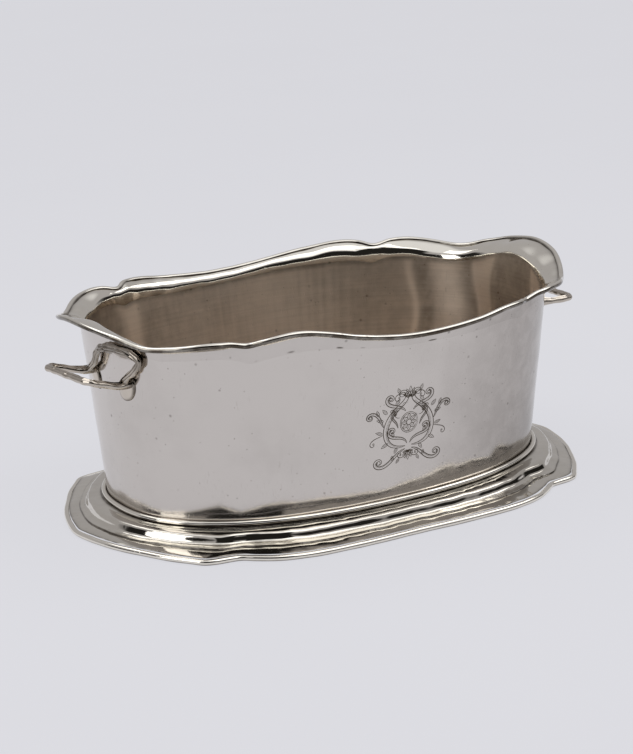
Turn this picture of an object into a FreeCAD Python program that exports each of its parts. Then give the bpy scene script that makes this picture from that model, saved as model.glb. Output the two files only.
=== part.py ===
import FreeCAD, Part
import math
import os

os.makedirs("parts", exist_ok=True)

# Oval silver wine cooler: a tapered oval bowl on a stepped, lobed foot, with a flared and
# pinched rim, a wire round each edge, and one fixed handle at each end.
# Long axis on X, front on -Y, Z up, origin on the table under the middle. Millimetres.

# ---- driving sizes ------------------------------------------------------------------------
WALL_BASE_LENGTH = 404.0      # outside of the bowl where it meets the foot
WALL_BASE_WIDTH = 256.0
WALL_FLARE_ENDS = 10.0        # how far each end leans out between base and mouth
WALL_FLARE_SIDES = 19.5       # and each long side
MOUTH_HEIGHT = 161.0          # table to the mouth crease, middle of a long side
FOOT_HEIGHT = 17.5            # table to the seat of the bowl
OVAL_POWER_BASE = 2.3         # 2 is an ellipse, more is squarer
OVAL_POWER_MOUTH = 2.4

SHEET = 1.6                   # wall, border and foot sheet
BASE_SHEET = 1.8              # bottom plate
SOLDER_GAP = 0.05             # left between flat soldered faces
CURVED_GAP = 0.2              # left where a wire lies against a curved face

RIM_WIRE_RADIUS = 2.4
FOOT_WIRE_RADIUS = 2.6
FOOT_WIRE_FLAT = 2.2          # width worn flat where the foot rests
BEAD_RADIUS = 2.3
BEAD_SEAT_WIDTH = 6.0         # flat shoulder of the foot that carries the bead
WALL_SEAT_WIDTH = 6.0         # and that lies under the bowl
RIM_SWEEP = 1.6               # how soon the border turns outwards, 1 is a straight cone
RIM_TILT = 70.0               # degrees that the border's sheet leans at the wire
FOOT_LAP = 0.025              # share of the width that the foot's underside draws in

HANDLE_HEIGHT = 140.0         # table to the handle's junctions
HANDLE_SPREAD = 61.5          # between the two junctions
HANDLE_ROD = 2.9              # rod radius
HANDLE_CORNER = 8.0           # bend radius of the outer corners
HANDLE_ELBOW = 7.0            # straight root of each arm
HANDLE_BEND = 12.0            # bend radius at the roots
BRACE_ROD = 2.7
BRACE_STAND_OFF = 1.0         # rod surface to wall
BRACE_LEG = 4.0               # upright start of each leg
BRACE_CLEAR = 0.5             # leg to the top of the root it stands on
BRACE_BENDS = (5.0, 5.0)      # bend radius at the legs and along the arch
ROD_SIDES = 8                 # the rods are forged with flats
PAD_LONG = 12.0               # half lengths of the oval pads
PAD_WIDE = 9.5
PAD_TILT = 35.0               # degrees that a pad's top leans away from the other pad
PAD_HANG = 6.0                # pad centre below the junction, along its long axis
PAD_THICK = 2.6               # pad face in front of the wall

# The two handles were bent by hand and differ: where the middle sits along Y, then the outer
# corners as (beyond the wall, along Y from the middle, above the junctions), then the brace's
# arch as (along Y from the middle, above the junctions), front to rear.
HANDLE_MIDDLE = {"left": -13.8, "right": 0.0}
GRIP_CORNERS = {"left": [(31.0, -30.0, 6.5), (42.0, 45.0, 6.5)],
                "right": [(42.0, -36.0, -1.0), (42.0, 36.0, -1.0)]}
BRACE_ARCH = {"left": [(-47.0, 18.5), (-38.5, 23.5), (-22.0, 27.0), (-2.0, 26.0), (9.0, 19.5)],
              "right": [(-41.0, 18.0), (-32.0, 25.5), (0.0, 27.0), (32.0, 25.5), (41.0, 18.0)]}

# The shaped outlines, as (angle from the long axis, size). One quarter, mirrored twice.
RIM_OVERHANG = [(0, 24.9), (8, 23.4), (16, 19.2), (24, 16.9), (32, 18.0), (38, 14.7),
                (43.5, 6.9), (49, 12.6), (56, 12.6), (65, 11.7), (77, 8.8), (90, 8.8)]
RIM_RISE = [(0, 11.5), (8, 12.5), (16, 15.0), (24, 13.5), (32, 14.5), (38, 15.5),
            (43.5, 16.5), (49, 17.0), (56, 17.2), (65, 14.5), (77, 11.3), (90, 10.5)]
MOUTH_WAVE = [(0, 19.0), (8, 14.5), (14.7, 6.5), (21, 1.5), (28, 3.5), (35, 5.0), (40, 3.5),
              (43.5, -0.5), (47, 1.5), (53, 3.0), (63, 2.5), (74, 1.2), (90, 0.0)]
FOOT_OVERHANG = [(0, 44.0), (5.4, 41.6), (11.3, 39.9), (19.4, 40.6), (27, 46.7), (31.6, 51.0),
                 (34.8, 54.4), (37, 52.6), (39.3, 47.8), (41.3, 45.1), (44.4, 47.5),
                 (50.4, 51.8), (58.9, 50.9), (70.5, 45.4), (90, 41.0)]
# Foot section from the bead shoulder to the foot wire: (share of the width, drop), in mm.
FOOT_OGEE = [(0.0, 0.0), (0.05, 0.9), (0.22, 1.4), (0.4, 3.6), (0.53, 6.7), (0.63, 8.6)]
FOOT_STEP = 1.3
FOOT_FLANGE = [(0.66, 0.0), (0.85, 0.9), (1.0, 2.4)]

WALL_BANDS = 6                # ruled bands up the wall, inside and outside
WIRE_SIDES = 8                # sides of a wire's section
QUARTER_ANGLES = [0, 7, 14, 20, 26, 31, 34.5, 37, 39.3, 41.3, 43.5, 46.5, 51, 57, 64, 72, 81]


# ---- outlines -----------------------------------------------------------------------------
def ring_angles():
    """Angles round one full turn, closer together near the four pinches."""
    quarter = [math.radians(a) for a in QUARTER_ANGLES]
    mirrored = [math.pi - a for a in reversed(quarter[1:])]
    half = quarter + [math.pi / 2] + mirrored
    return half + [a + math.pi for a in half]


ANGLES = ring_angles()


def wave(stations, angle):
    """Smooth value at an angle, from quarter stations mirrored about both axes."""
    a = abs(math.degrees(angle)) % 180.0
    a = min(a, 180.0 - a)
    pts = [(-stations[1][0], stations[1][1])] + list(stations)
    pts.append((180.0 - stations[-2][0], stations[-2][1]))
    i = 1
    while i < len(pts) - 3 and a > pts[i + 1][0]:
        i += 1
    (a0, v0), (a1, v1), (a2, v2), (a3, v3) = pts[i - 1:i + 3]
    span = a2 - a1
    slope1 = (v2 - v0) / (a2 - a0) * span
    slope2 = (v3 - v1) / (a3 - a1) * span
    t = (a - a1) / span
    return ((2 * t**3 - 3 * t**2 + 1) * v1 + (t**3 - 2 * t**2 + t) * slope1
            + (3 * t**2 - 2 * t**3) * v2 + (t**3 - t**2) * slope2)


def oval_radius(half_length, half_width, power, angle):
    """Distance from the middle to a squared-off oval."""
    u = (abs(math.cos(angle)) / half_length) ** power
    v = (abs(math.sin(angle)) / half_width) ** power
    return (u + v) ** (-1.0 / power)


def polar(radius, angle, z):
    return FreeCAD.Vector(radius * math.cos(angle), radius * math.sin(angle), z)


def wall_radius(angle, z, inset=0.0):
    """The bowl's outside at a height, moved inwards by inset."""
    share = (z - FOOT_HEIGHT) / (MOUTH_HEIGHT - FOOT_HEIGHT)
    half_length = WALL_BASE_LENGTH / 2 + WALL_FLARE_ENDS * share - inset
    half_width = WALL_BASE_WIDTH / 2 + WALL_FLARE_SIDES * share - inset
    power = OVAL_POWER_BASE + (OVAL_POWER_MOUTH - OVAL_POWER_BASE) * min(max(share, 0), 1)
    return oval_radius(half_length, half_width, power, angle)


def mouth_z(angle):
    return MOUTH_HEIGHT + wave(MOUTH_WAVE, angle)


def rim_radius(angle):
    """Outer edge of the rim wire."""
    return wall_radius(angle, mouth_z(angle)) + wave(RIM_OVERHANG, angle)


def rim_z(angle):
    """Middle height of the rim wire."""
    return mouth_z(angle) + wave(RIM_RISE, angle) - RIM_WIRE_RADIUS / 2


def foot_radius(angle):
    """Outer edge of the foot wire."""
    return wall_radius(angle, FOOT_HEIGHT) + wave(FOOT_OVERHANG, angle)


def outward(radius_at, angle):
    """Unit vector square to a plan outline, pointing away from the middle."""
    step = 1e-3
    p = polar(radius_at(angle - step), angle - step, 0)
    q = polar(radius_at(angle + step), angle + step, 0)
    run = q.sub(p)
    return FreeCAD.Vector(run.y, -run.x, 0).normalize()


def closed_curve(point_at):
    """Closed spline through point_at(angle) for every ring angle."""
    curve = Part.BSplineCurve()
    points = [point_at(a) for a in ANGLES]
    curve.interpolate(Points=points, PeriodicFlag=True, Parameters=ANGLES + [2 * math.pi])
    return Part.Wire(curve.toShape())


# ---- solids -------------------------------------------------------------------------------
def solid_of(faces, name):
    """One closed solid sewn from faces."""
    shell = Part.makeCompound(faces)
    shell.sewShape(1e-3)
    solid = Part.makeSolid(shell.Shells[0])
    if solid.Volume < 0:
        solid.reverse()
    if not solid.isValid() or not shell.Shells[0].isClosed():
        raise ValueError("open or faulty solid: " + name)
    return solid


def strips(curves):
    """Ruled bands between neighbouring closed curves."""
    return [Part.makeLoft(list(pair), False, True).Faces[0] for pair in zip(curves, curves[1:])]


def ring_solid(curves, name):
    """Ring whose section is the closed loop of curves."""
    return solid_of(strips(curves + curves[:1]), name)


def tube_ring(radius_at, z_at, inset, radius, name, flat=0.0):
    """Wire of round section along an outline, inset from it; flat is its resting face."""
    def at(section_angle):
        def point(a):
            side = outward(radius_at, a)
            centre = polar(radius_at(a), a, z_at(a)).sub(side * inset)
            lift = max(math.sin(section_angle) * radius, -math.sqrt(radius**2 - flat**2 / 4))
            reach = math.copysign(math.sqrt(max(radius**2 - lift**2, 0)),
                                  math.cos(section_angle))
            return centre.add(side * reach).add(FreeCAD.Vector(0, 0, lift))
        return closed_curve(point)

    if flat == 0:
        turn = 2 * math.pi / WIRE_SIDES
        return ring_solid([at(turn * (k + 0.5)) for k in range(WIRE_SIDES)], name)
    start = -math.acos(flat / 2 / radius)
    turn = (math.pi - 2 * start) / (WIRE_SIDES - 1)
    curves = [at(start + turn * k) for k in range(WIRE_SIDES)]
    rest = Part.Face(curves[0]).cut(Part.Face(curves[-1])).Faces[0]
    return solid_of(strips(curves) + [rest], name)


def body_wall():
    def curve(inset, level):
        def point(a):
            z = FOOT_HEIGHT + (mouth_z(a) - FOOT_HEIGHT) * level
            return polar(wall_radius(a, z, inset), a, z)
        return closed_curve(point)
    levels = [k / WALL_BANDS for k in range(WALL_BANDS + 1)]
    outer = [curve(0, level) for level in levels]
    inner = [curve(SHEET, level) for level in reversed(levels)]
    return ring_solid(outer + inner, "body_wall")


def base_plate():
    def curve(z):
        inset = SHEET + SOLDER_GAP
        return closed_curve(lambda a: polar(wall_radius(a, FOOT_HEIGHT, inset), a, z))
    low = curve(FOOT_HEIGHT + SOLDER_GAP)
    high = curve(FOOT_HEIGHT + SOLDER_GAP + BASE_SHEET)
    return solid_of([Part.Face(low), Part.Face(high)] + strips([low, high]), "base_plate")


def rim_border():
    """Flared sheet from the mouth crease to the rim wire, steep first and then flatter."""
    wire_inset = 2 * RIM_WIRE_RADIUS + CURVED_GAP

    def point(a, share, thick):
        z = mouth_z(a) + SOLDER_GAP
        inner = polar(wall_radius(a, mouth_z(a), SHEET), a, z)
        outer = polar(rim_radius(a), a, rim_z(a)).sub(outward(rim_radius, a) * wire_inset)
        run = outer.sub(inner)
        rise = run.z
        run.z = 0
        along = share**RIM_SWEEP
        up = 1 - (1 - share)**RIM_SWEEP
        centre = inner.add(run * along).add(FreeCAD.Vector(0, 0, rise * up))
        tilt = math.radians(RIM_TILT * share)
        side = run.normalize()
        return centre.add(side * (thick * math.cos(tilt))).sub(
            FreeCAD.Vector(0, 0, thick * math.sin(tilt)))

    shares = [0, 0.25, 0.55, 1]
    upper = [closed_curve(lambda a, s=s: point(a, s, 0)) for s in shares]
    lower = [closed_curve(lambda a, s=s: point(a, s, SHEET)) for s in shares]
    return ring_solid(upper + lower[::-1], "rim_border")


def foot_shell():
    """Hollow stepped foot: shoulder, ogee, step and flange, ending inside the foot wire."""
    wire_inset = 2 * FOOT_WIRE_RADIUS + SOLDER_GAP

    def point(a, share, z):
        start = wall_radius(a, FOOT_HEIGHT) + BEAD_SEAT_WIDTH
        side = outward(foot_radius, a)
        outer = polar(foot_radius(a), a, z).sub(side * wire_inset)
        inner = polar(start, a, z)
        return inner.add(outer.sub(inner) * share)

    def curve(share, z):
        return closed_curve(lambda a: point(a, share, z))

    def sheet(drop, pull):
        top = FOOT_HEIGHT - drop
        step = top - FOOT_OGEE[-1][1] - FOOT_STEP
        ogee = [curve(s - pull, top - d) for s, d in FOOT_OGEE]
        flange = [curve(s - pull * (s < 1), step - d) for s, d in FOOT_FLANGE]
        return ogee, flange

    seat_inset = SHEET + WALL_SEAT_WIDTH
    shoulder = [closed_curve(lambda a, z=z: polar(wall_radius(a, FOOT_HEIGHT, seat_inset), a, z))
                for z in (FOOT_HEIGHT - SOLDER_GAP, FOOT_HEIGHT - SHEET)]
    ogee, flange = sheet(SOLDER_GAP, 0.0)
    under_ogee, under_flange = sheet(SHEET, FOOT_LAP)
    top = [shoulder[0]] + ogee + flange
    under = [shoulder[1]] + under_ogee[1::2] + under_flange[::2]
    return ring_solid(top + under[::-1], "foot_shell")


def foot_bead():
    """Half-round wire on the shoulder of the foot, against the bowl."""
    def bead_radius(a):
        lean = wall_radius(a, FOOT_HEIGHT + 2 * BEAD_RADIUS)
        return lean + 2 * BEAD_RADIUS + CURVED_GAP
    return tube_ring(bead_radius, lambda a: FOOT_HEIGHT + BEAD_RADIUS, BEAD_RADIUS,
                     BEAD_RADIUS, "foot_bead")


def foot_wire():
    height = math.sqrt(FOOT_WIRE_RADIUS**2 - FOOT_WIRE_FLAT**2 / 4)
    return tube_ring(foot_radius, lambda a: height, FOOT_WIRE_RADIUS, FOOT_WIRE_RADIUS,
                     "foot_wire", FOOT_WIRE_FLAT)


def rim_wire():
    return tube_ring(rim_radius, rim_z, RIM_WIRE_RADIUS, RIM_WIRE_RADIUS, "rim_wire")


# ---- handles ------------------------------------------------------------------------------
def wall_x(y, z, off=0.0):
    """X of the bowl's outside at the +X end, standing off by off."""
    share = (z - FOOT_HEIGHT) / (MOUTH_HEIGHT - FOOT_HEIGHT)
    half_length = WALL_BASE_LENGTH / 2 + WALL_FLARE_ENDS * share
    half_width = WALL_BASE_WIDTH / 2 + WALL_FLARE_SIDES * share
    power = OVAL_POWER_BASE + (OVAL_POWER_MOUTH - OVAL_POWER_BASE) * share
    return half_length * (1 - (abs(y) / half_width) ** power) ** (1 / power) + off


def wall_frame(y, z):
    """Point on the +X end of the bowl, the outward direction there and the way up the wall."""
    step = 0.05
    slope_y = (wall_x(y + step, z) - wall_x(y - step, z)) / (2 * step)
    slope_z = (wall_x(y, z + step) - wall_x(y, z - step)) / (2 * step)
    out = FreeCAD.Vector(1, -slope_y, -slope_z).normalize()
    up = FreeCAD.Vector(slope_z, 0, 1).normalize()
    return FreeCAD.Vector(wall_x(y, z), y, z), out, up


def rod(points, bends, radius, name):
    """Eight-sided rod along straight runs joined by tangent bends, one bend per corner."""
    edges = []
    start = points[0]
    for before, corner, after, bend in zip(points, points[1:], points[2:], bends):
        back = before.sub(corner).normalize()
        ahead = after.sub(corner).normalize()
        half_angle = back.getAngle(ahead) / 2
        reach = bend / math.tan(half_angle)
        middle = back.add(ahead).normalize() * (bend / math.sin(half_angle) - bend)
        entry = corner.add(back * reach)
        leave = corner.add(ahead * reach)
        edges.append(Part.LineSegment(start, entry).toShape())
        edges.append(Part.Arc(entry, corner.add(middle), leave).toShape())
        start = leave
    edges.append(Part.LineSegment(start, points[-1]).toShape())
    turn = FreeCAD.Rotation(FreeCAD.Vector(0, 0, 1), points[1].sub(points[0]))
    section = []
    for k in range(ROD_SIDES + 1):
        a = 2 * math.pi * (k + 0.5) / ROD_SIDES
        flat = FreeCAD.Vector(radius * math.cos(a), radius * math.sin(a), 0)
        section.append(points[0].add(turn.multVec(flat)))
    section[-1] = section[0]
    solid = Part.Wire(edges).makePipeShell([Part.makePolygon(section)], True, False)
    if not solid.isValid() or solid.Volume <= 0:
        raise ValueError("faulty rod: " + name)
    return solid.Solids[0]


def pad_frame(middle, sign):
    """Pad centre on the wall, the way out, and the pad's long and short axes; sign is -1 in
    front of the handle's middle and 1 behind it."""
    tilt = math.radians(PAD_TILT)
    y = middle + sign * (HANDLE_SPREAD / 2 - PAD_HANG * math.sin(tilt))
    seat, out, up = wall_frame(y, HANDLE_HEIGHT - PAD_HANG * math.cos(tilt))
    side = up.cross(out) * sign
    long_axis = up * math.cos(tilt) + side * math.sin(tilt)
    return seat, out, long_axis, long_axis.cross(out)


def handle_pad(middle, sign):
    """Oval plate soldered to the wall, its back on the wall's tangent plane."""
    seat, out, long_axis, short_axis = pad_frame(middle, sign)
    centre = seat.add(out * SOLDER_GAP)
    ellipse = Part.Ellipse(centre.add(long_axis * PAD_LONG), centre.add(short_axis * PAD_WIDE),
                           centre)
    return Part.Face(Part.Wire(ellipse.toShape())).extrude(out * PAD_THICK)


def handle_loop(middle, corners):
    """Grip: out from the front pad, along the outer bar and back to the rear pad."""
    arms = []
    for sign, (beyond, along, above) in zip((-1, 1), corners):
        seat, out, long_axis, short_axis = pad_frame(middle, sign)
        root = seat.add(long_axis * PAD_HANG).add(out * (PAD_THICK + 2 * SOLDER_GAP))
        elbow = root.add(out * HANDLE_ELBOW)
        corner = FreeCAD.Vector(wall_x(0, HANDLE_HEIGHT) + beyond, middle + along,
                                HANDLE_HEIGHT + above)
        arms.append([root, elbow, corner])
    bends = [HANDLE_BEND, HANDLE_CORNER, HANDLE_CORNER, HANDLE_BEND]
    return rod(arms[0] + arms[1][::-1], bends, HANDLE_ROD, "handle_loop")


def handle_brace(middle, arch):
    """Arched rod along the wall, its legs standing on the two roots of the grip."""
    foot = HANDLE_ROD + BRACE_CLEAR
    half = HANDLE_SPREAD / 2
    over_pad = PAD_THICK + 2 * CURVED_GAP + BRACE_ROD
    route = [(half, foot, over_pad), (half, foot + BRACE_LEG, over_pad)]
    route = [(-y, z, off) for y, z, off in route]
    route += [(y, z, BRACE_ROD + BRACE_STAND_OFF) for y, z in arch]
    route += [(half, foot + BRACE_LEG, over_pad), (half, foot, over_pad)]
    points = []
    for y, z, off in route:
        seat, out, up = wall_frame(y + middle, HANDLE_HEIGHT + z)
        points.append(seat.add(out * off))
    leg, along = BRACE_BENDS
    return rod(points, [leg] + [along] * len(arch) + [leg], BRACE_ROD, "handle_brace")


def make_handle(side):
    """The four pieces of one handle."""
    middle = HANDLE_MIDDLE[side]
    pieces = {
        "handle_loop": handle_loop(middle, GRIP_CORNERS[side]),
        "handle_brace": handle_brace(middle, BRACE_ARCH[side]),
        "front_pad": handle_pad(middle, -1),
        "rear_pad": handle_pad(middle, 1),
    }
    if side == "left":
        plane = FreeCAD.Vector(0, 0, 0)
        across = FreeCAD.Vector(1, 0, 0)
        pieces = {name: shape.mirror(plane, across) for name, shape in pieces.items()}
    return {side + "_" + name: shape for name, shape in pieces.items()}


# ---- build --------------------------------------------------------------------------------
nodes = {
    "body_wall": body_wall(),
    "base_plate": base_plate(),
    "rim_border": rim_border(),
    "rim_wire": rim_wire(),
    "foot_bead": foot_bead(),
    "foot_shell": foot_shell(),
    "foot_wire": foot_wire(),
}
for side in HANDLE_MIDDLE:
    nodes.update(make_handle(side))

for name, shape in nodes.items():
    if shape.ShapeType != "Solid" or not shape.isValid():
        raise ValueError("not one sound solid: " + name)
    shape.exportStep("parts/" + name + ".step")
    box = shape.BoundBox
    print("%-20s volume %9.0f  x %7.1f %7.1f  y %7.1f %7.1f  z %6.1f %6.1f" % (
        name, shape.Volume, box.XMin, box.XMax, box.YMin, box.YMax, box.ZMin, box.ZMax))
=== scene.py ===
import math

import bpy
import numpy as np
from bpy.props import FloatProperty, FloatVectorProperty, IntProperty, PointerProperty
from mathutils import Matrix, Vector


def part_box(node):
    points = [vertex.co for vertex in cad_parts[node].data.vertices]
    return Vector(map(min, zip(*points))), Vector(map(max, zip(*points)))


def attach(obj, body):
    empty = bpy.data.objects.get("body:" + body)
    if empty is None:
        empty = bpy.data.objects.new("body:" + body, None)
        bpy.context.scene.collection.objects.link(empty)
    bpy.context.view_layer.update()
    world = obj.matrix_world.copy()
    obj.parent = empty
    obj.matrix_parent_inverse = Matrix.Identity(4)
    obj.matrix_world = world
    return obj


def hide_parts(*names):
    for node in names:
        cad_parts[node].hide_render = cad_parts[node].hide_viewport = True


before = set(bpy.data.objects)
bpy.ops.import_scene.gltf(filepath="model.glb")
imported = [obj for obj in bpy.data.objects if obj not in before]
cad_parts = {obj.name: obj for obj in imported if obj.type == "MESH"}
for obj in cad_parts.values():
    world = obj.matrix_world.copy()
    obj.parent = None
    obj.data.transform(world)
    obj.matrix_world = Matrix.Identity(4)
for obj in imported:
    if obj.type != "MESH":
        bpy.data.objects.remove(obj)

bl_info = {
    "name": "Oval silver champagne bucket",
    "version": (1, 0, 0),
    "blender": (4, 5, 0),
    "location": "3D View > Sidebar > Bucket",
    "description": "Builds an oval silver bucket with a pinched rim, stepped foot and two handles",
    "category": "Add Mesh",
}

# Metres and radians. Long axis on X, front on -Y, Z up, origin on the table under the middle.
# Angles run from +X towards +Y, so the front is at 270 degrees.
MM = 0.001
TURN = 2 * math.pi
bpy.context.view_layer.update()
WALL_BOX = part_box("body_wall")
FOOT_TOP = WALL_BOX[0][2]
MOUTH_HALF_WIDTH = WALL_BOX[1][1]

# Outlines of one quarter, mirrored into the other three: (degrees from the long axis, mm).
RIM_OVERHANG = [(0, 24.9), (8, 23.4), (16, 19.2), (24, 16.9), (32, 18.0), (38, 14.7),
                (43.5, 6.9), (49, 12.6), (56, 12.6), (65, 11.7), (77, 8.8), (90, 8.8)]
RIM_RISE = [(0, 11.5), (8, 12.5), (16, 15.0), (24, 13.5), (32, 14.5), (38, 15.5),
            (43.5, 16.5), (49, 17.0), (56, 17.2), (65, 14.5), (77, 11.3), (90, 10.5)]
MOUTH_WAVE = [(0, 19.0), (8, 14.5), (14.7, 6.5), (21, 1.5), (28, 3.5), (35, 5.0), (40, 3.5),
              (43.5, -0.5), (47, 1.5), (53, 3.0), (63, 2.5), (74, 1.2), (90, 0.0)]
FOOT_OVERHANG = [(0, 44.0), (5.4, 41.6), (11.3, 39.9), (19.4, 40.6), (27, 46.7), (31.6, 51.0),
                 (34.8, 54.4), (37, 52.6), (39.3, 47.8), (41.3, 45.1), (44.4, 47.5),
                 (50.4, 51.8), (58.9, 50.9), (70.5, 45.4), (90, 41.0)]
# How far the hand-worked rim strays in height from even, in mm, at equal steps round it.
RIM_STRAY = [0, -0.1, -0.8, 0.7, 0.7, 2.3, 0.5, -2.2, -4.3, -0.1, -0.6, -1.9,
             -0.1, 3.3, 1.6, 3.2, 6.9, 2.8, -0.6, -3.2, -5.0, -2.3, -0.8, -0.3]
DENT_DEPTH = 0.45 * MM   # how far the wall strays from a true oval
# Section of the foot from the bead outwards: (share of the width, drop below the top in mm).
FOOT_SECTION = [(0.0, 0.0), (0.03, 0.30), (0.07, 0.60), (0.16, 0.70), (0.26, 0.85), (0.34, 1.15),
                (0.385, 1.8), (0.415, 3.2), (0.435, 5.0), (0.455, 6.8), (0.485, 8.0), (0.54, 8.7),
                (0.60, 9.0), (0.64, 9.15), (0.655, 9.3), (0.66, 10.2), (0.675, 10.4), (0.75, 10.55),
                (0.84, 10.9), (0.92, 11.4), (0.97, 11.8), (1.0, 12.2)]
# Patina inside the bowl in upright bands, with dips that are painted reflections: (degrees from the
# long axis, share).
INSIDE_PATINA_AND_REFLECTIONS = [(-8, 0.45), (0, 0.45), (8, 0.45), (9.5, 0.0), (14, -0.10), (15.5, 0.42), (20, 0.18),
                (24, 0.22), (27, 0.48), (30, 0.42), (32, -0.05), (34, 0.24), (42, 0.34), (60, 0.22),
                (80, 0.18), (100, 0.26), (120, 0.30), (131, 0.36), (135, -0.05), (139, 0.05),
                (143, 0.45), (160, 0.38), (180, 0.5), (190, 0.5)]
OUTSIDE_ROWS = 76        # rows of points up the wall's outside, and up its inside
INSIDE_ROWS = 31
RING_REACH = 0.2         # about the bowl's radius, where unevenness round the rings is read
SEAT_REACH = 6 * MM      # how far the foot's sheet runs in under the bowl

# The two handles were bent by hand and differ. Along Y from the handle's middle and above its
# roots: the grip's outer corners, with how far they stand beyond the wall, and the brace's line
# from front to rear, with how far it stands off the wall. Millimetres.
PAD_TILT = math.radians(35)
HANDLE_MIDDLE = {"left": -13.8 * MM, "right": 0.0}
GRIP_CORNERS = {"left": [(31.0, -30.0, 6.5), (42.0, 45.0, 6.5)],
                "right": [(42.0, -36.0, -1.0), (42.0, 36.0, -1.0)]}
GRIP_ROOT = {"left": 0.4, "right": 1.2}   # how much deeper a grip is at its roots
ROD_SIDES = 32           # points round a grip or brace
ROD_END = 1.5 * MM       # how far its rounded ends stand out
END_ROWS = 3             # rows that round off each end
REEDS = 3                # waves of reeding across a grip or brace
PAD_ROWS = 26            # rows of a pad's dome, before the three that close it behind
BRACE_LINE = {
    "left": [(-30.5, 1.5, 5.5), (-33.5, 6, 5.2), (-42.5, 14, 4.0), (-47.8, 22, 3.6),
             (-41.3, 27.6, 3.6), (-26.3, 29.0, 3.6), (-2.7, 26.6, 3.6), (8.0, 20.5, 3.7),
             (15.4, 10.7, 4.0), (27.0, 2.0, 5.2), (31.0, 0.5, 5.5)],
    "right": [(-30.7, 1.5, 5.5), (-33.5, 6, 5.2), (-41.5, 14, 4.0), (-42.5, 20, 3.6),
              (-33.0, 26.5, 3.6), (0.0, 28.0, 3.6), (33.0, 26.5, 3.6), (42.5, 20, 3.6),
              (41.5, 14, 4.0), (33.5, 6, 5.2), (30.7, 1.5, 5.5)]}

# Engraved scrolls of the right half: start along and above the middle in mm, heading in degrees,
# length in mm, turning in degrees per length at equal steps along it, half width of the band.
SCROLLS = [
    ((3.0, -24.0), -10, 100, (200, 380, 200, 170, -40, -1100, -2400), 2.5),
    ((4.0, 15.0), 62, 46, (-240, -60, 330, 900, 1500), 1.6),
    ((3.0, -27.5), -12, 58, (-220, -20, 300, 900, 1600), 1.7),
    ((27.0, 1.0), 62, 42, (60, -60, -330, -900, -1400), 1.3),
    ((1.5, -22.0), 80, 46, (-330, -120, 330, 850, 1500), 1.4),
    ((27.0, -7.0), -25, 26, (60, -60, -380, -1000), 0.0),
    ((2.0, 29.0), 60, 28, (-60, -200, -420, -900), 0.0),
    ((11.5, -3.0), 70, 30, (60, -120, 60, 420, 900, 1500), 0.9),
    ((10.0, 9.0), -20, 22, (300, 200, -500, -1100), 0.0),
    ((2.0, -33.0), -60, 20, (60, 260, 420, 900), 0.0)]
# Leaves of the right half: root along and above the middle, heading, length and half width.
LEAVES = [(27.5, 8.0, 20, 8.0, 1.6), (24.0, 15.5, 50, 8.0, 1.5), (15.0, 24.0, 125, 7.5, 1.5),
          (22.0, -17.5, -35, 8.5, 1.6), (28.0, -6.0, 20, 8.0, 1.4), (12.0, -24.5, -65, 7.0, 1.4),
          (12.0, 17.5, 15, 7.0, 1.3), (11.0, 36.0, 70, 7.0, 1.4), (9.5, -37.5, -60, 6.0, 1.2),
          (17.0, -33.0, -95, 6.5, 1.3), (16.5, -12.0, 80, 6.5, 1.3), (33.0, 14.5, 75, 7.5, 1.4)]
PALMETTES = [(0.0, 31.0, 90, 12.0), (0.0, -30.0, -90, 11.0)]
ROSETTE = (0.0, 2.0, 9.5, 11.5)


# ---- sizes and colours --------------------------------------------------------------------
def length(name, about, default):
    """A length property in metres."""
    return FloatProperty(name=name, description=about, default=default, unit="LENGTH",
                         precision=4)


def tint(name, about, default):
    """A colour property."""
    return FloatVectorProperty(name=name, description=about, default=default, subtype="COLOR",
                               min=0.0, max=1.0)


class BucketSizes(bpy.types.PropertyGroup):
    """Sizes that can be changed by themselves"""
    base_length: length("Base length", "Outside of the bowl at the foot", 0.404)
    base_width: length("Base width", "Outside of the bowl at the foot", 0.256)
    flare_ends: length("End flare", "How far each end leans out", 0.010)
    flare_sides: length("Side flare", "How far each long side leans out",
                        MOUTH_HALF_WIDTH - 0.128)
    mouth_height: length("Mouth height", "Table to the crease under the rim", 0.161)
    sheet: length("Sheet", "Thickness of the silver", 0.0016)
    rim_wire: length("Rim wire", "Radius of the wire on the rim", 0.0024)
    foot_wire: length("Foot wire", "Radius of the wire round the foot", 0.0026)
    bead: length("Bead", "Radius of the bead on the foot", 0.0023)
    bead_seat: length("Bead seat", "Flat shoulder of the foot", 0.0060)
    handle_height: length("Handle height", "Table to where the grips join", 0.140)
    handle_spread: length("Handle spread", "Between the two roots of a grip", 0.0615)
    grip_rod: length("Grip rod", "Mean radius of the grip", 0.0029)
    brace_rod: length("Brace rod", "Mean radius of the brace", 0.0027)
    pad_long: length("Pad length", "Half length of a solder pad", 0.012)
    pad_wide: length("Pad width", "Half width of a solder pad", 0.0095)
    pad_hang: length("Pad hang", "Pad centre below the grip's root", 0.006)
    ornament_along: length("Ornament along", "Middle of the engraving from the bowl's", 0.0087)
    ornament_above: length("Ornament height", "Table to the middle of the engraving", 0.088)
    ornament_scale: FloatProperty(name="Ornament scale", description="Size of the engraving",
                                  default=0.92, subtype="FACTOR")
    ornament_rise: FloatProperty(name="Ornament rise", description="Height against width",
                                 default=0.88, subtype="FACTOR")


class BucketFinish(bpy.types.PropertyGroup):
    """Colours of the silver where it is worn, oxidised, polished and handled"""
    wall: tint("Wall", "Worn outside of the bowl", (0.665, 0.625, 0.585))
    inside: tint("Inside", "Oxidised inside of the bowl", (0.87, 0.75, 0.63))
    polished: tint("Polished", "Rim and foot", (0.90, 0.86, 0.775))
    handle: tint("Handles", "Grips, braces and pads", (0.76, 0.69, 0.60))
    # Dark colour of patina, also used to paint shade in creases and under the wires
    tarnish_and_shade: tint("Tarnish_and_shade", "Colour left in creases", (0.075, 0.060, 0.045))


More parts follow.
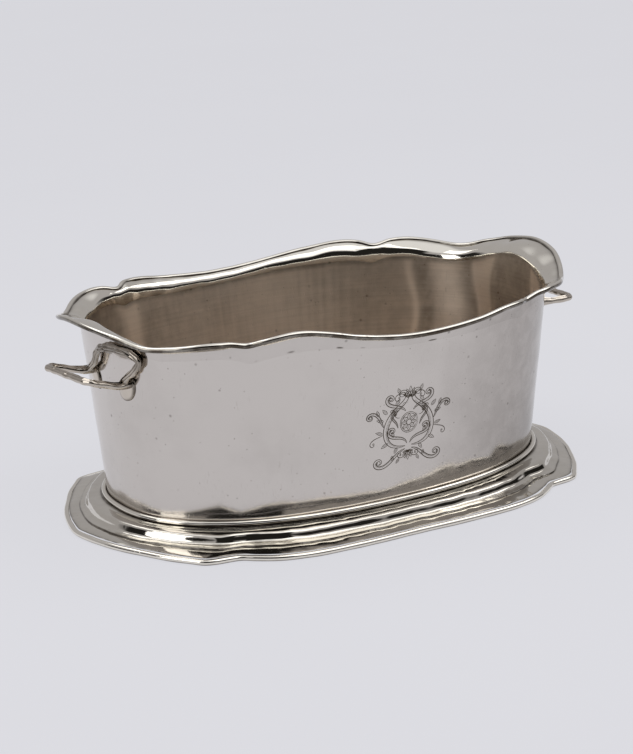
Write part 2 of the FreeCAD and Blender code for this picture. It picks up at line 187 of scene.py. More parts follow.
class BucketStage(bpy.types.PropertyGroup):
    """The floor's colour and the fineness of the meshes"""
    floor: tint("Floor", "Plain pale floor", (0.735, 0.735, 0.775))
    columns: IntProperty(name="Columns", description="Points round the bowl", default=900,
                         min=180, max=1200)


def sizes():
    """The scene's bucket sizes."""
    return bpy.context.scene.bucket_sizes


def finish():
    """The scene's silver colours."""
    return bpy.context.scene.bucket_finish


# ---- outlines -----------------------------------------------------------------------------
def cubic(t, before, start, end, after):
    """Cubic from start to end with the given end slopes, t from 0 to 1."""
    return ((2 * t**3 - 3 * t**2 + 1) * start + (t**3 - 2 * t**2 + t) * before
            + (3 * t**2 - 2 * t**3) * end + (t**3 - t**2) * after)


def through(at, value, where):
    """Smooth value at each where: cubics between neighbouring points, whose slope at a point
    is that of the line between its two neighbours."""
    slope = (value[2:] - value[:-2]) / (at[2:] - at[:-2])
    i = np.clip(np.searchsorted(at, where, side="right") - 1, 1, len(at) - 3)
    span = at[i + 1] - at[i]
    t = (where - at[i]) / span
    return cubic(t, slope[i - 1] * span, value[i], value[i + 1], slope[i] * span)


def quarter_wave(stations, turn):
    """Value at each angle from one quarter's stations, mirrored about both axes."""
    at, value = np.array(stations, float).T
    at = np.concatenate([-at[1:2], at, 180 - at[-2:-1]])
    value = np.concatenate([value[1:2], value, value[-2:-1]])
    a = np.degrees(turn) % 180
    return through(at, value, np.minimum(a, 180 - a)) * MM


def ring_wave(values, turn):
    """Value at each angle from values at equal steps round the whole ring."""
    step = 360 / len(values)
    at = np.arange(-2, len(values) + 3) * step
    value = np.array(values, float)[np.arange(-2, len(values) + 3) % len(values)]
    return through(at, value, np.degrees(turn) % 360) * MM


def columns():
    """Angles of the columns round a ring."""
    count = bpy.context.scene.bucket_stage.columns
    return np.arange(count) * (TURN / count)


def polar(radius, turn, z):
    """Points from distances, angles and heights."""
    radius, turn, z = np.broadcast_arrays(radius, turn, z)
    return np.stack([radius * np.cos(turn), radius * np.sin(turn), z], axis=-1)


def oval(z):
    """Half length, half width and share of the height of the bowl's outside at height z, which
    grows evenly from foot to mouth."""
    s = sizes()
    share = (z - FOOT_TOP) / (s.mouth_height - FOOT_TOP)
    half_length = s.base_length / 2 + s.flare_ends * share
    return half_length, s.base_width / 2 + s.flare_sides * share, share


def squareness(share):
    """Power of the oval; 2 is an ellipse and more is squarer."""
    return 2.3 + 0.1 * share


def beside(across, half_across, half_out, share):
    """How far out the oval lies at a distance across it."""
    power = squareness(share)
    return half_out * (1 - np.abs(across / half_across) ** power) ** (1 / power)


def wall_radius(turn, z, inset=0.0):
    """Distance from the middle to the bowl's outside at an angle; inset moves it inwards.
    |x / half length| ** power + |y / half width| ** power = 1."""
    half_length, half_width, share = oval(z)
    power = squareness(np.clip(share, 0, 1))
    u = (np.abs(np.cos(turn)) / (half_length - inset)) ** power
    v = (np.abs(np.sin(turn)) / (half_width - inset)) ** power
    return (u + v) ** (-1 / power)


def even_mouth(turn):
    """Height of the crease between bowl and rim, before the hand-worked stray."""
    return sizes().mouth_height + quarter_wave(MOUTH_WAVE, turn)


def mouth_z(turn):
    """Height of the crease between bowl and rim."""
    return even_mouth(turn) + ring_wave(RIM_STRAY, turn) * 0.8


def mouth_radius(turn):
    """Outside of the bowl at the crease."""
    return wall_radius(turn, mouth_z(turn))


def rim_radius(turn):
    """Outer edge of the rim wire."""
    return wall_radius(turn, even_mouth(turn)) + quarter_wave(RIM_OVERHANG, turn)


def rim_z(turn):
    """Middle height of the rim wire."""
    even = even_mouth(turn) - sizes().rim_wire / 2
    return even + quarter_wave(RIM_RISE, turn) + ring_wave(RIM_STRAY, turn)


def foot_radius(turn):
    """Outer edge of the foot wire."""
    return wall_radius(turn, FOOT_TOP) + quarter_wave(FOOT_OVERHANG, turn)


def bead_radius(turn):
    """Outer edge of the bead between bowl and foot."""
    s = sizes()
    return wall_radius(turn, FOOT_TOP + 2 * s.bead) + 2 * s.bead + 0.2 * MM


def outward(radius_at, turn):
    """Unit vectors square to a plan outline."""
    step = 1e-3
    after, before = turn + step, turn - step
    run = polar(radius_at(after), after, 0) - polar(radius_at(before), before, 0)
    side = np.stack([run[:, 1], -run[:, 0], 0 * run[:, 0]], axis=-1)
    return side / np.linalg.norm(side, axis=-1, keepdims=True)


def ripple(points, size, seed, waves=9):
    """Smooth unevenness between about -1 and 1: a sum of plane sine waves of about the given
    wavelength in set random directions, so it has no seam."""
    rng = np.random.default_rng(seed)
    total = np.zeros(points.shape[:-1])
    for _ in range(waves):
        way = rng.normal(size=3)
        way *= TURN / (size * rng.uniform(0.7, 1.5) * np.linalg.norm(way))
        total += np.sin(points @ way + rng.uniform(0, TURN))
    return total / math.sqrt(waves)


def ring_ripple(size, seed):
    """Unevenness round the bowl, one value for each column."""
    return ripple(polar(RING_REACH, columns(), 0.0), size, seed)


# ---- meshes -------------------------------------------------------------------------------
def grid_faces(rows, cols, wrap_rows, wrap_cols):
    """Quads of a grid of points, one array row per quad."""
    r = np.arange(rows if wrap_rows else rows - 1)[:, None]
    c = np.arange(cols if wrap_cols else cols - 1)[None, :]
    r2 = (r + 1) % rows
    c2 = (c + 1) % cols
    quads = np.stack([r * cols + c, r * cols + c2, r2 * cols + c2, r2 * cols + c], axis=-1)
    return quads.reshape(-1, 4)


def put_object(name, data):
    """A new object in the scene, at the origin."""
    made = bpy.data.objects.new(name, data)
    bpy.context.collection.objects.link(made)
    return made


def put_mesh(name, points, faces, patina_and_shade, materials, face_material=None, sharp=40):
    """A new object from points and faces, with the share of patina and painted shade at each
    point as a point attribute; edges sharper than the given degrees stay sharp."""
    mesh = bpy.data.meshes.new(name)
    mesh.from_pydata(points.reshape(-1, 3).tolist(), [], list(map(tuple, faces)))
    layer = mesh.attributes.new("patina_and_shade", "FLOAT", "POINT")
    layer.data.foreach_set("value", np.ascontiguousarray(patina_and_shade, np.float32).ravel())
    for material in materials:
        mesh.materials.append(material)
    if face_material is not None:
        mesh.polygons.foreach_set("material_index", face_material.astype(np.int32))
    mesh.polygons.foreach_set("use_smooth", np.ones(len(faces), bool))
    mesh.update()
    mesh.set_sharp_from_angle(angle=math.radians(sharp))
    if mesh.validate():
        raise ValueError("faulty mesh: " + name)
    return put_object(name, mesh)


def wire_patina_and_shade(grid, low):
    """Darkening of a wire, per row of its section: patina and painted shade on its inner side
    against the sheet, and painted shade on its outer side below the given share of its radius."""
    around = np.arange(len(grid)) / len(grid) * TURN
    # Inner side: patina and painted shade in the groove; lower outer side: painted shade
    inside = np.clip((-np.cos(around) - 0.70) * 5, 0, 1) * 0.9
    under = np.clip((low - np.sin(around)) * 4, 0, 1) * 0.95
    under *= np.clip(np.cos(around) * 3 + 1, 0, 1)
    return np.broadcast_to((0.05 + np.maximum(inside, under))[:, None], grid.shape[:2])


def hand_over(piece, slot, *nodes):
    """The piece rides on the one body and stands for nodes; slot is not used."""
    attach(piece, "root")
    if nodes:
        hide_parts(*nodes)
    return piece


def ring_piece(name, grid, patina_and_shade, materials, face_material=None):
    """Closed ring: rows run round its section and columns round the bowl."""
    rows, cols = grid.shape[:2]
    faces = grid_faces(rows, cols, True, True)
    return put_mesh(name, grid, faces, np.broadcast_to(patina_and_shade, (rows, cols)), materials,
                    face_material)


def tube_ring(centre, side, radius, sides=18):
    """Rows of a round wire: centre line, its outward direction and the radius at each column."""
    around = (np.arange(sides) / sides * TURN)[:, None, None]
    up = np.array([0, 0, 1.0])
    radius = np.asarray(radius)[None, :, None]
    return centre + radius * (np.cos(around) * side + np.sin(around) * up)


def wire_ring(name, node_name, radius_at, z, wire, uneven, low):
    """Round wire whose outer side follows a plan outline; wire is its radius, uneven what is
    added to that as a share, and low where the painted shade on its underside starts. None of it is
    below the table."""
    turn = columns()
    side = outward(radius_at, turn)
    centre = polar(radius_at(turn), turn, z) - side * wire
    grid = tube_ring(centre, side, wire * (1 + uneven))
    grid[..., 2] = np.maximum(grid[..., 2], 0.0)
    piece = ring_piece(name, grid, wire_patina_and_shade(grid, low), [polished_silver()])
    hand_over(piece, "polished_silver", node_name)


# ---- materials ----------------------------------------------------------------------------
def feed(tree, socket, value):
    """Link a socket to another, or set its value."""
    if isinstance(value, bpy.types.NodeSocket):
        tree.links.new(value, socket)
    else:
        socket.default_value = value


def node(tree, kind, **inputs):
    """A new node; keyword values are its sockets' values or links, names with _ for spaces."""
    made = tree.nodes.new(kind)
    for key, value in inputs.items():
        feed(tree, made.inputs[key.replace("_", " ")], value)
    return made


def maths(tree, operation, first, second=0.0, clamp=False):
    """One Math node's result."""
    made = tree.nodes.new("ShaderNodeMath")
    made.operation = operation
    made.use_clamp = clamp
    feed(tree, made.inputs[0], first)
    feed(tree, made.inputs[1], second)
    return made.outputs[0]


# Short names for the sums and products of values in a node tree.
def plus(tree, first, second, clamp=False):
    return maths(tree, "ADD", first, second, clamp)


def minus(tree, first, second, clamp=False):
    return maths(tree, "SUBTRACT", first, second, clamp)


def times(tree, first, second):
    return maths(tree, "MULTIPLY", first, second)


def most(tree, first, second):
    return maths(tree, "MAXIMUM", first, second)


def object_place(tree):
    """Object coordinates."""
    return tree.nodes.new("ShaderNodeTexCoord").outputs["Object"]


def bare_tree(owner):
    """The emptied node tree of a material or world."""
    owner.use_nodes = True
    owner.node_tree.nodes.clear()
    return owner.node_tree


def give_out(tree, kind, shader):
    """Link a shader node to a new output node."""
    out = tree.nodes.new(kind)
    tree.links.new(shader.outputs[0], out.inputs["Surface"])


def stretch(tree, vector, scale, turn=(0.0, 0.0, 0.0)):
    """Coordinates scaled and turned, so that noise on them runs in streaks."""
    made = node(tree, "ShaderNodeMapping", Vector=vector, Rotation=turn, Scale=scale)
    return made.outputs["Vector"]


def noise(tree, vector, scale, detail=3.0, rough=0.5):
    """Cloudy noise between 0 and 1."""
    made = node(tree, "ShaderNodeTexNoise", Vector=vector, Scale=scale, Detail=detail,
                Roughness=rough)
    return made.outputs["Fac"]


def between(tree, value, low, high):
    """0 below low, 1 above high, smooth in between."""
    made = node(tree, "ShaderNodeMapRange", Value=value, From_Min=low, From_Max=high)
    made.interpolation_type = "SMOOTHSTEP"
    return made.outputs["Result"]


def beyond(tree, value, low, high):
    """1 below low, 0 above high, smooth in between."""
    return minus(tree, 1.0, between(tree, value, low, high))


def mix_colour(tree, share, first, second):
    """Colour between two, share towards the second."""
    made = tree.nodes.new("ShaderNodeMix")
    made.data_type = "RGBA"
    for index, value in ((0, share), (6, first), (7, second)):
        feed(tree, made.inputs[index], value)
    return made.outputs[2]


# Cells that hold pits: (cells in a metre, share of them left empty).
PIT_CELLS = ((130.0, 0.88), (300.0, 0.85))
# Scratches: (turn of the coordinates, their scale), much less stretched along the scratch.
SCRATCHES = (((0.3, 0.9, 0.2), (900, 900, 14)), ((1.2, -0.5, 0.7), (1100, 1100, 20)),
             ((-0.8, 0.35, 1.4), (800, 800, 10)))


def wear_group():
    """Node group of the wear on old silver, from object coordinates: cloudy patina, pits,
    fine scratches that cross at several angles, and a height for the bump. The darkening it gives
    also takes in the mesh's share of patina and painted shade."""
    old = bpy.data.node_groups.get("Silver wear")
    if old:
        return old
    tree = bpy.data.node_groups.new("Silver wear", "ShaderNodeTree")
    face = tree.interface
    for key, default in (("Grain", 1.0), ("Pits", 1.0), ("Scratches", 1.0), ("Patina_and_shade", 0.0)):
        face.new_socket(key, in_out="INPUT", socket_type="NodeSocketFloat").default_value = default
    for key in ("Tarnish_and_shade", "Dull", "Height"):
        face.new_socket(key, in_out="OUTPUT", socket_type="NodeSocketFloat")
    given = tree.nodes.new("NodeGroupInput")
    out = tree.nodes.new("NodeGroupOutput")
    place = object_place(tree)

    cloud = noise(tree, place, 9.0, 5.0, 0.6)
    mottle = noise(tree, place, 60.0, 4.0, 0.65)
    pit = None
    for scale, rare in PIT_CELLS:
        cells = node(tree, "ShaderNodeTexVoronoi", Vector=place, Scale=scale)
        lot = node(tree, "ShaderNodeSeparateColor", Color=cells.outputs["Color"])
        chosen = between(tree, lot.outputs[0], rare, rare + 0.01)
        reach = plus(tree, times(tree, lot.outputs[1], 0.20), 0.05)
        ragged = times(tree, minus(tree, mottle, 0.5), 0.2)
        ragged = plus(tree, cells.outputs["Distance"], ragged)
        spot = minus(tree, 1.08, maths(tree, "DIVIDE", ragged, reach), clamp=True)
        spot = times(tree, spot, chosen)
        pit = spot if pit is None else most(tree, pit, spot)
    pit = times(tree, pit, given.outputs["Pits"])
    scratch = None
    for turn, scale in SCRATCHES:
        lines = noise(tree, stretch(tree, place, scale, turn), 1.0, 1.0)
        lines = between(tree, lines, 0.66, 0.80)
        scratch = lines if scratch is None else most(tree, scratch, lines)
    scratch = times(tree, scratch, given.outputs["Scratches"])

    tarnish_and_shade = times(tree, between(tree, cloud, 0.45, 0.75), 0.10)
    tarnish_and_shade = plus(tree, tarnish_and_shade, times(tree, pit, 0.55))
    rubbed = between(tree, noise(tree, place, 30.0, 2.0), 0.52, 0.66)
    tarnish_and_shade = plus(tree, tarnish_and_shade, times(tree, scratch, times(tree, rubbed, 0.12)))
    uneven = plus(tree, times(tree, between(tree, mottle, 0.30, 0.62), 0.25), 0.72)
    # The mesh's share of patina and painted shade, made uneven
    patina_and_shade = times(tree, given.outputs["Patina_and_shade"], uneven)
    tree.links.new(plus(tree, tarnish_and_shade, patina_and_shade, clamp=True), out.inputs["Tarnish_and_shade"])
    dull = plus(tree, times(tree, mottle, given.outputs["Grain"]), times(tree, scratch, 0.35))
    tree.links.new(dull, out.inputs["Dull"])
    height = times(tree, mottle, times(tree, given.outputs["Grain"], 0.12))
    height = minus(tree, height, times(tree, pit, 0.5))
    height = minus(tree, height, times(tree, scratch, 0.10))
    tree.links.new(height, out.inputs["Height"])
    return tree


def silver(name, colour, rough, spread, depth, grain, pits, scratches, streak=None):
    """Metal of one finish: wear sets its darkening, roughness and bump, and the mesh's share of
    patina and painted shade darkens it too. rough is the least roughness and spread what the wear
    adds; depth is that of the bump. grain, pits and scratches are shares of each, and streak is
    (scale, strength, patina) of brushed lines."""
    material = bpy.data.materials.get(name)
    if material:
        return material
    material = bpy.data.materials.new(name)
    tree = bare_tree(material)
    patina_and_shade = tree.nodes.new("ShaderNodeAttribute")
    patina_and_shade.attribute_name = "patina_and_shade"
    wear = tree.nodes.new("ShaderNodeGroup")
    wear.node_tree = wear_group()
    for key, value in (("Grain", grain), ("Pits", pits), ("Scratches", scratches),
                       ("Patina_and_shade", patina_and_shade.outputs["Fac"])):
        feed(tree, wear.inputs[key], value)
    tarnish_and_shade, dull, height = (wear.outputs[key] for key in ("Tarnish_and_shade", "Dull", "Height"))
    if streak:
        scale, strength, stain = streak
        lines = noise(tree, stretch(tree, object_place(tree), scale), 1.0, 4.0, 0.6)
        height = plus(tree, height, times(tree, lines, strength))
        dull = plus(tree, dull, times(tree, lines, strength))
        tarnish_and_shade = plus(tree, tarnish_and_shade, times(tree, between(tree, lines, 0.35, 0.75), stain),
                       clamp=True)
    # The metal darkens towards the dark colour with patina and with painted shade; where the share
    # dips inside the bowl, the pale streaks are painted reflections
    shade = mix_colour(tree, tarnish_and_shade, (*colour, 1), (*finish().tarnish_and_shade, 1))
    bump = node(tree, "ShaderNodeBump", Strength=1.0, Distance=depth, Height=height)
    shader = node(tree, "ShaderNodeBsdfPrincipled", Base_Color=shade, Metallic=1.0,
                  Roughness=plus(tree, times(tree, dull, spread), rough),
                  Normal=bump.outputs["Normal"])
    give_out(tree, "ShaderNodeOutputMaterial", shader)
    return material


def wall_silver():
    return silver("Worn wall silver", finish().wall, rough=0.07, spread=0.12, depth=0.12 * MM,
                  grain=0.8, pits=1.0, scratches=1.0)


def inside_silver():
    return silver("Oxidised inside silver", finish().inside, rough=0.32, spread=0.20,
                  depth=0.3 * MM, grain=0.5, pits=0.6, scratches=1.0,
                  streak=((9, 14, 420), 0.35, 0.08))


def polished_silver():
    return silver("Polished silver", finish().polished, rough=0.04, spread=0.08,
                  depth=0.12 * MM, grain=0.5, pits=0.5, scratches=0.6)


def handle_silver():
    return silver("Handled silver", finish().handle, rough=0.06, spread=0.12, depth=0.2 * MM,
                  grain=0.6, pits=0.6, scratches=0.8)


# ---- bowl ---------------------------------------------------------------------------------
def sheet_section(top, bottom):
    """Closed section of a sheet from its two faces' rows, with a row that rounds each edge.
    Rows run out along top, round the edge, and back along bottom."""
    def edge(a, b, back):
        """Middle of a and b, pushed away from back, square to the sheet's thickness."""
        middle = (a + b) / 2
        half = (a - b) / 2
        way = middle - back
        along = np.sum(way * half, -1, keepdims=True) / np.sum(half**2, -1, keepdims=True)
        way -= half * along
        way *= (np.linalg.norm(half, axis=-1, keepdims=True)
                / np.linalg.norm(way, axis=-1, keepdims=True))
        return (middle + way * 0.6)[None]
    far = edge(top[-1], bottom[-1], (top[-2] + bottom[-2]) / 2)
    near = edge(bottom[0], top[0], (top[1] + bottom[1]) / 2)
    return np.concatenate([top, far, bottom[::-1], near])


def right_end_darkening():
    """Darker colour over the bowl's right end on the outside, fading out towards its long sides."""
    return 0.50 * np.clip((np.cos(columns()) - 0.25) * 1.6, 0, 1)


def wall_skin(turn, z, inset=0.0):
    """Points on one face of the wall at any angles and heights: the tapered oval, moved in or
    out by the sheet's unevenness, which fades out at the foot and at the mouth."""
    flat = polar(wall_radius(turn, z, inset), turn, z)
    uneven = DENT_DEPTH * (ripple(flat, 0.085, 3) * 0.65 + ripple(flat, 0.034, 4) * 0.18
                           + ripple(flat, 0.013, 5) * 0.03)
    level = (flat[..., 2] - FOOT_TOP) / (mouth_z(turn) - FOOT_TOP)
    fade = np.clip(np.minimum(level * 40, (1 - level) * 12), 0, 1)
    return polar(wall_radius(turn, z, inset) + uneven * fade, turn, z)


def wall_rows(levels, inset):
    """One face of the wall as rows at shares of its height."""
    turn = columns()[None, :]
    return wall_skin(turn, FOOT_TOP + (mouth_z(turn) - FOOT_TOP) * levels[:, None], inset)


class BUCKET_OT_bowl(bpy.types.Operator):
    """Oval bowl wall: outside and inside faces of one uneven hand-raised sheet"""
    bl_idname = "bucket.bowl"
    bl_label = "Bowl wall"

    def execute(self, context):
        outside = wall_rows(np.linspace(0, 1, OUTSIDE_ROWS), 0.0)
        inside = wall_rows(np.linspace(0, 1, INSIDE_ROWS), sizes().sheet)
        grid = sheet_section(outside, inside)
        rows, cols = grid.shape[:2]
        inner = (np.arange(rows) > OUTSIDE_ROWS)[:, None] * np.ones(cols)[None, :]
        # Darker at the foot, and on the inside at the mouth: patina and painted shade in the
        # creases
        low = np.exp(-(grid[..., 2] - FOOT_TOP) / (4 * MM)) * 0.8
        high = np.exp(-(mouth_z(columns())[None, :] - grid[..., 2]) / (2 * MM)) * 0.7 * inner
        # Inside: patina in upright bands, whose dips are painted reflections; outside: darker over
        # the right end
        at, share = np.array(INSIDE_PATINA_AND_REFLECTIONS, float).T
        turn = np.degrees(columns())
        place = np.minimum(turn, 360 - turn) + 1.5 * ripple(grid, 0.06, 61)
        fine = ring_ripple(0.007, 62) * (1 + ripple(grid, 0.05, 63)) * 0.02
        band = 0.05 + through(at, share, np.clip(place, 0, 180)) * 1.15 + fine
        bands_and_end = inner * np.clip(band, 0, 0.9) + right_end_darkening() * (1 - inner)
        patina_and_shade = np.maximum(np.maximum(low, high), bands_and_end)
        piece = ring_piece("bowl_wall", grid, patina_and_shade, [wall_silver(), inside_silver()],
                           inner.ravel())
        hand_over(piece, "body_silver", "body_wall")
        return {"FINISHED"}


class BUCKET_OT_bottom(bpy.types.Operator):
    """Bottom plate of the bowl, a slightly dished oval disc"""
    bl_idname = "bucket.bottom"
    bl_label = "Bowl bottom"

    def execute(self, context):
        turn = columns()[::3]
        low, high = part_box("base_plate")[0][2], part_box("base_plate")[1][2]
        upper_rows, lower_rows = 60, 12
        share = np.concatenate([np.linspace(0.002, 1, upper_rows),
                                np.linspace(1, 0.002, lower_rows)])[:, None]
        upper = (np.arange(len(share)) < upper_rows)[:, None]
        edge = wall_radius(turn, FOOT_TOP, sizes().sheet + 0.05 * MM)
        flat = polar(edge * share, turn, low)
        dish = 0.5 * MM * share**4 + 0.12 * MM * ripple(flat, 0.07, 8)
        flat[..., 2] = np.where(upper, high - 0.6 * MM + dish, low)
        # Darker towards its edge: patina and painted shade in the corner against the wall
        patina_and_shade = np.clip((share - 0.85) * 5, 0, 0.9)
        piece = ring_piece("bowl_bottom", flat[::-1], patina_and_shade[::-1], [inside_silver()])
        hand_over(piece, "inside_silver", "base_plate")
        return {"FINISHED"}


# ---- rim ----------------------------------------------------------------------------------
def rim_rows(shares, thick):
    """One face of the flared border: it leaves the mouth crease steeply and flattens towards
    the wire; thick moves it to the other face."""
    turn = columns()
    square = outward(mouth_radius, turn)
    inner = polar(mouth_radius(turn), turn, mouth_z(turn) - 0.3 * MM) - square * sizes().sheet
    side = outward(rim_radius, turn)
    under_wire = 2 * sizes().rim_wire - 0.2 * MM
    outer = polar(rim_radius(turn), turn, rim_z(turn)) - side * under_wire
    run = outer - inner
    rise = run[:, 2:].copy()
    run[:, 2] = 0
    s = shares[:, None, None]
    centre = inner + run * (0.88 * s**3 + 0.12 * s)
    centre[..., 2] += (rise * (1 - (1 - s) ** 1.4))[..., 0]
    tilt = math.radians(70) * s
    way = square * (1 - s) + run / np.linalg.norm(run, axis=-1, keepdims=True) * s
    way /= np.linalg.norm(way, axis=-1, keepdims=True)
    down = np.array([0, 0, 1.0])
    return centre + thick * (way * np.cos(tilt) - down * np.sin(tilt))


class BUCKET_OT_rim(bpy.types.Operator):
    """Flared and pinched border with a half-round wire along its edge"""
    bl_idname = "bucket.rim"
    bl_label = "Rim"

    def execute(self, context):
        turn = columns()
        shares = np.linspace(0, 1, 34)
        upper = rim_rows(shares, 0.0)
        lower = rim_rows(shares, sizes().sheet + 0.03 * MM)
        wobble = 0.30 * MM * ripple(upper, 0.020, 21) * np.clip(shares * 4, 0, 1)[:, None]
        wobble = wobble[..., None] * np.array([0, 0, 1.0])
        grid = sheet_section(upper + wobble, lower + wobble)[::-1]
        place = np.concatenate([shares, [1], shares[::-1], [0]])[::-1, None]
        under = np.concatenate([shares * 0, [0], shares * 0 + 1, [1]])[::-1, None]
        # Patina and painted shade in the crease at the mouth on the upper face, and in the groove
        # against the wire on both faces
        patina_and_shade = np.exp(-place / 0.04) * 0.8 * (1 - under) + np.exp(-(1 - place) / 0.03) * 0.8
        # Dark spots on the under face just below the crease: painted shade of dents
        painted_dent_shade = np.clip(ring_ripple(0.02, 24) - 0.9, 0, 1) * under
        painted_dent_shade = painted_dent_shade * np.exp(-((place - 0.07) / 0.03) ** 2)
        patina_and_shade = np.clip(patina_and_shade + 0.06 + right_end_darkening() * under + 2.5 * painted_dent_shade, 0, 1)
        piece = ring_piece("rim_flare", grid, patina_and_shade, [polished_silver(), wall_silver()],
                           np.repeat(under[:, 0] > 0.5, len(turn)))
        hand_over(piece, "polished_silver", "rim_border")
        # The wire's outer side below 0.7 of its radius is darkened as painted shade
        wire_ring("rim_edge_wire", "rim_wire", rim_radius, rim_z(turn), sizes().rim_wire,
                  0.03 * ring_ripple(0.02, 23), 0.70)
        return {"FINISHED"}


# ---- foot ---------------------------------------------------------------------------------
def foot_rows(section, drop, pull):
    """One face of the foot: the section's shares run from the bead shoulder to the wire."""
    turn = columns()
    start = polar(wall_radius(turn, FOOT_TOP) + sizes().bead_seat, turn, 0.0)
    side = outward(foot_radius, turn)
    end = polar(foot_radius(turn), turn, 0.0) - side * (2 * sizes().foot_wire - 0.3 * MM)
    shares, drops = np.array(section, float).T
    s = (shares - pull * (shares < 1))[:, None, None]
    grid = start + (end - start) * s
    grid[..., 2] = (FOOT_TOP - drop - drops * MM)[:, None]
    return grid


def smooth_section(section, step):
    """Points along a section at about equal steps, smooth between its corners."""
    at, drops = np.array(section, float).T
    fine = np.concatenate([np.linspace(a, b, max(2, int((b - a) / step)), endpoint=False)
                           for a, b in zip(at, at[1:])] + [at[-1:]])
    pad_at = np.concatenate([[2 * at[0] - at[1]], at, [2 * at[-1] - at[-2]]])
    pad = np.concatenate([[2 * drops[0] - drops[1]], drops, [2 * drops[-1] - drops[-2]]])
    return np.stack([fine, through(pad_at, pad, fine)], axis=-1)


class BUCKET_OT_foot(bpy.types.Operator):
    """Stepped and lobed foot: bead under the bowl, ogee, step, flange and edge wire"""
    bl_idname = "bucket.foot"
    bl_label = "Foot"

    def execute(self, context):
        turn = columns()
        s = sizes()

        def seat(share, drop):
            """One row under the bowl's wall."""
            inset = s.sheet + share * SEAT_REACH
            return polar(wall_radius(turn, FOOT_TOP, inset), turn, FOOT_TOP - drop)[None]
        fine = smooth_section(FOOT_SECTION, 0.016)
        top = np.concatenate([seat(1.0, 0.0), seat(0.5, 0.0), foot_rows(fine, 0.0, 0.0)])
        under = np.concatenate([seat(1.0, s.sheet),
                                foot_rows(FOOT_SECTION[::2], s.sheet, 0.025)])
        loose = np.clip(np.linspace(0, 3, len(top)), 0, 1)[:, None] * MM
        top[..., 2] += (0.16 * ripple(top, 0.03, 31) + 0.05 * ripple(top, 0.011, 34)) * loose
        push = (0.22 * ripple(top, 0.024, 36) + 0.03 * ripple(top, 0.009, 37)) * loose
        top[..., :2] *= (1 + push / RING_REACH)[..., None]
        grid = np.concatenate([top, under[::-1]])[::-1]
        bare = [np.full(count, -1.0) for count in (2, len(under))]
        share = np.concatenate([bare[0], fine[:, 0], bare[1]])[::-1]
        # Patina and painted shade in the creases at the step, at the wire and at the bead, plus
        # 0.24 all over
        creases = sum(np.exp(-np.abs(share - at) / width)
                      for at, width in ((0.66, 0.010), (1, 0.02), (0, 0.02)))
        piece = ring_piece("foot_stepped_shell", grid, np.clip(creases + 0.24, 0, 1)[:, None],
                           [polished_silver()])
        hand_over(piece, "polished_silver", "foot_shell")
        # Both foot wires carry painted shade on their undersides
        wire_ring("foot_edge_wire", "foot_wire", foot_radius, s.foot_wire, s.foot_wire,
                  0.03 * ring_ripple(0.02, 33), -0.3)
        wire_ring("foot_bead_wire", "foot_bead", bead_radius, FOOT_TOP + s.bead, s.bead,
                  0.02 * ring_ripple(0.02, 35), -0.5)
        return {"FINISHED"}


# ---- handles ------------------------------------------------------------------------------
def end_frame(y, z):
    """At the +X end of the bowl: a point on its outside, the way out and the way up."""
    def surface(y, z):
        half_length, half_width, share = oval(z)
        return beside(y, half_width, half_length, share)
    step = 0.05 * MM
    slope_y = (surface(y + step, z) - surface(y - step, z)) / (2 * step)
    slope_z = (surface(y, z + step) - surface(y, z - step)) / (2 * step)
    out = np.array([1, -slope_y, -slope_z])
    up = np.array([slope_z, 0, 1.0])
    return np.array([surface(y, z), y, z]), out / np.linalg.norm(out), up / np.linalg.norm(up)


def bent_path(points, bends, step):
    """Straight runs joined by arcs tangent to both, as points about step apart."""
    path = []
    start = points[0]
    for before, corner, after, bend in zip(points, points[1:], points[2:], bends):
        back = (before - corner) / np.linalg.norm(before - corner)
        ahead = (after - corner) / np.linalg.norm(after - corner)
        half = math.acos(np.clip(back @ ahead, -1, 1)) / 2
        reach = bend / math.tan(half)
        entry = corner + back * reach
        centre = corner + (back + ahead) / np.linalg.norm(back + ahead) * (bend / math.sin(half))
        arc = math.pi - 2 * half
        first = entry - centre
        second = -back * bend
        share = np.linspace(0, arc, max(3, int(arc * bend / step) + 1))[:, None]
        run = np.linspace(0, 1, max(2, int(np.linalg.norm(entry - start) / step)), endpoint=False)
        path.append(start + (entry - start) * run[:, None])
        path.append(centre + first * np.cos(share) + second * np.sin(share))
        start = path[-1][-1]
        path[-1] = path[-1][:-1]
    run = np.linspace(0, 1, max(2, int(np.linalg.norm(points[-1] - start) / step)))
    path.append(start + (points[-1] - start) * run[:, None])
    return np.concatenate(path)


def smooth_path(points, step):
    """Smooth curve through points, as points about step apart."""
    points = np.array(points)
    points = np.concatenate([[2 * points[0] - points[1]], points, [2 * points[-1] - points[-2]]])
    run = np.concatenate([[0], np.cumsum(np.linalg.norm(np.diff(points, axis=0), axis=-1))])
    where = np.arange(run[1], run[-2], step)
    return np.stack([through(run, axis, where) for axis in points.T], axis=-1)


def round_rod():
    """Angles round a grip or brace."""
    return (np.arange(ROD_SIDES) / ROD_SIDES * TURN)[None, :]


def reeds(around):
    """Reeds across a band's outer side: 1 on a reed and -1 between two."""
    return np.cos(REEDS * math.pi * np.cos(around))


